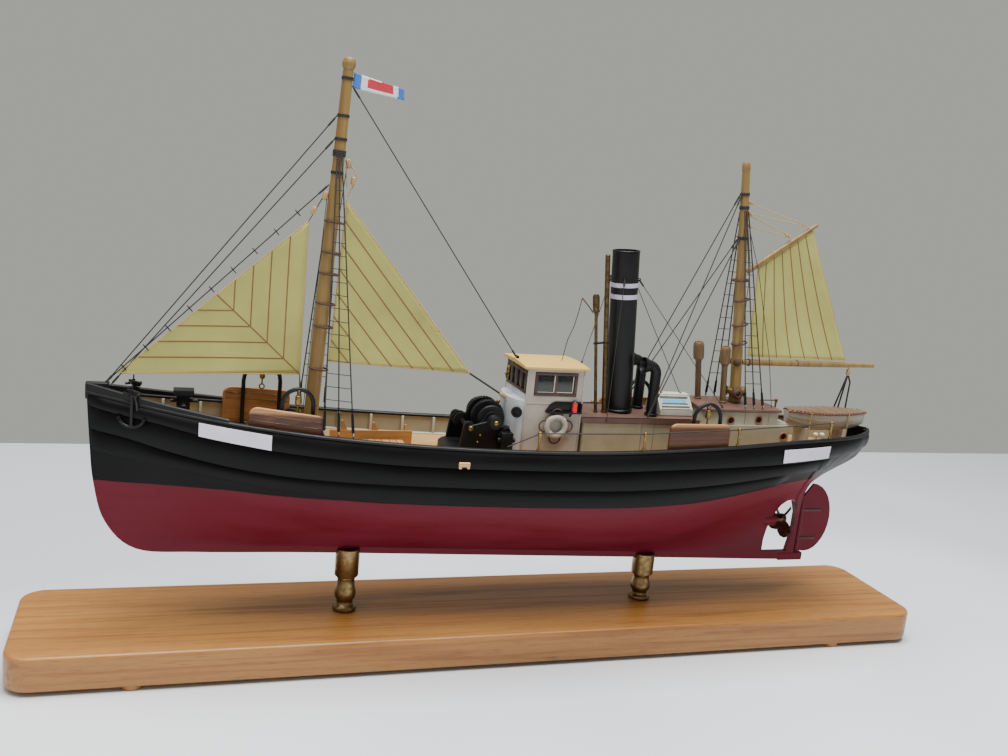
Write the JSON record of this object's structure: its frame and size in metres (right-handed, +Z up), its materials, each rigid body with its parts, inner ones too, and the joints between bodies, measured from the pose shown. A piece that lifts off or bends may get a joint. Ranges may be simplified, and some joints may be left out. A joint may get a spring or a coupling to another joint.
{
  "type": "steam trawler display model",
  "caption": "Display model of a steam fishing trawler with masts, sails, trawl gear and deckhouses, held by two turned pedestals on an oak plinth.",
  "frame": {"origin": "on the table under the middle of the plinth, level with the undersides of its feet", "axes": "+X along the plinth towards the ship's stern, -Y to the port side, +Z up"},
  "size_m": [0.6124, 0.0962, 0.3671],
  "materials": {
    "oak": "satin",
    "pedestal_brass": "polished",
    "hull_paint": "satin",
    "propeller_brass": "satin",
    "deck_wood": "matte",
    "black_paint": "satin",
    "spar_wood": "satin",
    "sailcloth": "matte",
    "flag_cloth": "matte",
    "door_wood": "satin",
    "grey_paint": "satin",
    "roof_wood": "satin",
    "window_wood": "satin",
    "white_paint": "satin",
    "beige_paint": "satin",
    "brown_paint": "satin",
    "boat_cover": "matte",
    "fitting_brass": "satin",
    "cord": "matte"
  },
  "bodies": {
    "ship": {"after_house": "beige_paint", "anchor_port": "black_paint", "anchor_starboard": "black_paint", "boom": "spar_wood", "bow_bitt": "black_paint", "bulwark": "black_paint", "cabin_roof": "brown_paint", "casing_roof": "brown_paint", "cowl_port": "black_paint", "cowl_starboard": "black_paint", "deck": "deck_wood", "engine_casing": "beige_paint", "flag": "flag_cloth", "fore_shrouds_port": "cord", "fore_shrouds_starboard": "cord", "foremast": "spar_wood", "forestay": "cord", "funnel": "black_paint", "gaff": "spar_wood", "gallows_aft_port": "black_paint", "gallows_aft_starboard": "black_paint", "gallows_fore_port": "black_paint", "gallows_fore_starboard": "black_paint", "hull": "hull_paint", "jib": "sailcloth", "life_rail_port": "fitting_brass", "life_rail_starboard": "fitting_brass", "life_ring_port": "white_paint", "life_ring_starboard": "white_paint", "lifeboat": "grey_paint", "lifeboat_cover": "boat_cover", "mizzen_mast": "spar_wood", "mizzen_sail": "sailcloth", "mizzen_shrouds_port": "cord", "mizzen_shrouds_starboard": "cord", "pedestal_aft": "pedestal_brass", "pedestal_fore": "pedestal_brass", "plinth": "oak", "pound_board": "door_wood", "sidelight_port": "black_paint", "sidelight_starboard": "black_paint", "skylight": "white_paint", "steam_pipes": "fitting_brass", "stern_frame": "hull_paint", "trawl_door_aft_port": "door_wood", "trawl_door_aft_starboard": "door_wood", "trawl_door_fore_port": "door_wood", "trawl_door_fore_starboard": "door_wood", "trysail": "sailcloth", "vent_aft": "spar_wood", "vent_fore": "spar_wood", "wheelhouse": "grey_paint", "wheelhouse_roof": "roof_wood", "winch_drum": "black_paint", "winch_frame": "black_paint", "window_front": "window_wood", "window_port": "window_wood", "window_starboard": "window_wood"},
    "rudder_body": {"rudder": "hull_paint"},
    "propeller_body": {"propeller": "propeller_brass"}
  },
  "joints": [
    {"name": "rudder_hinge", "type": "hinge", "parent": "ship", "child": "rudder_body", "pos_m": [0.2276, 0, 0.08], "axis": [0, 0, 1], "range_deg": [-35, 35]},
    {"name": "propeller_shaft", "type": "hinge", "parent": "ship", "child": "propeller_body", "pos_m": [0.21, 0, 0.0816], "axis": [1, 0, 0], "continuous": true}
  ]
}
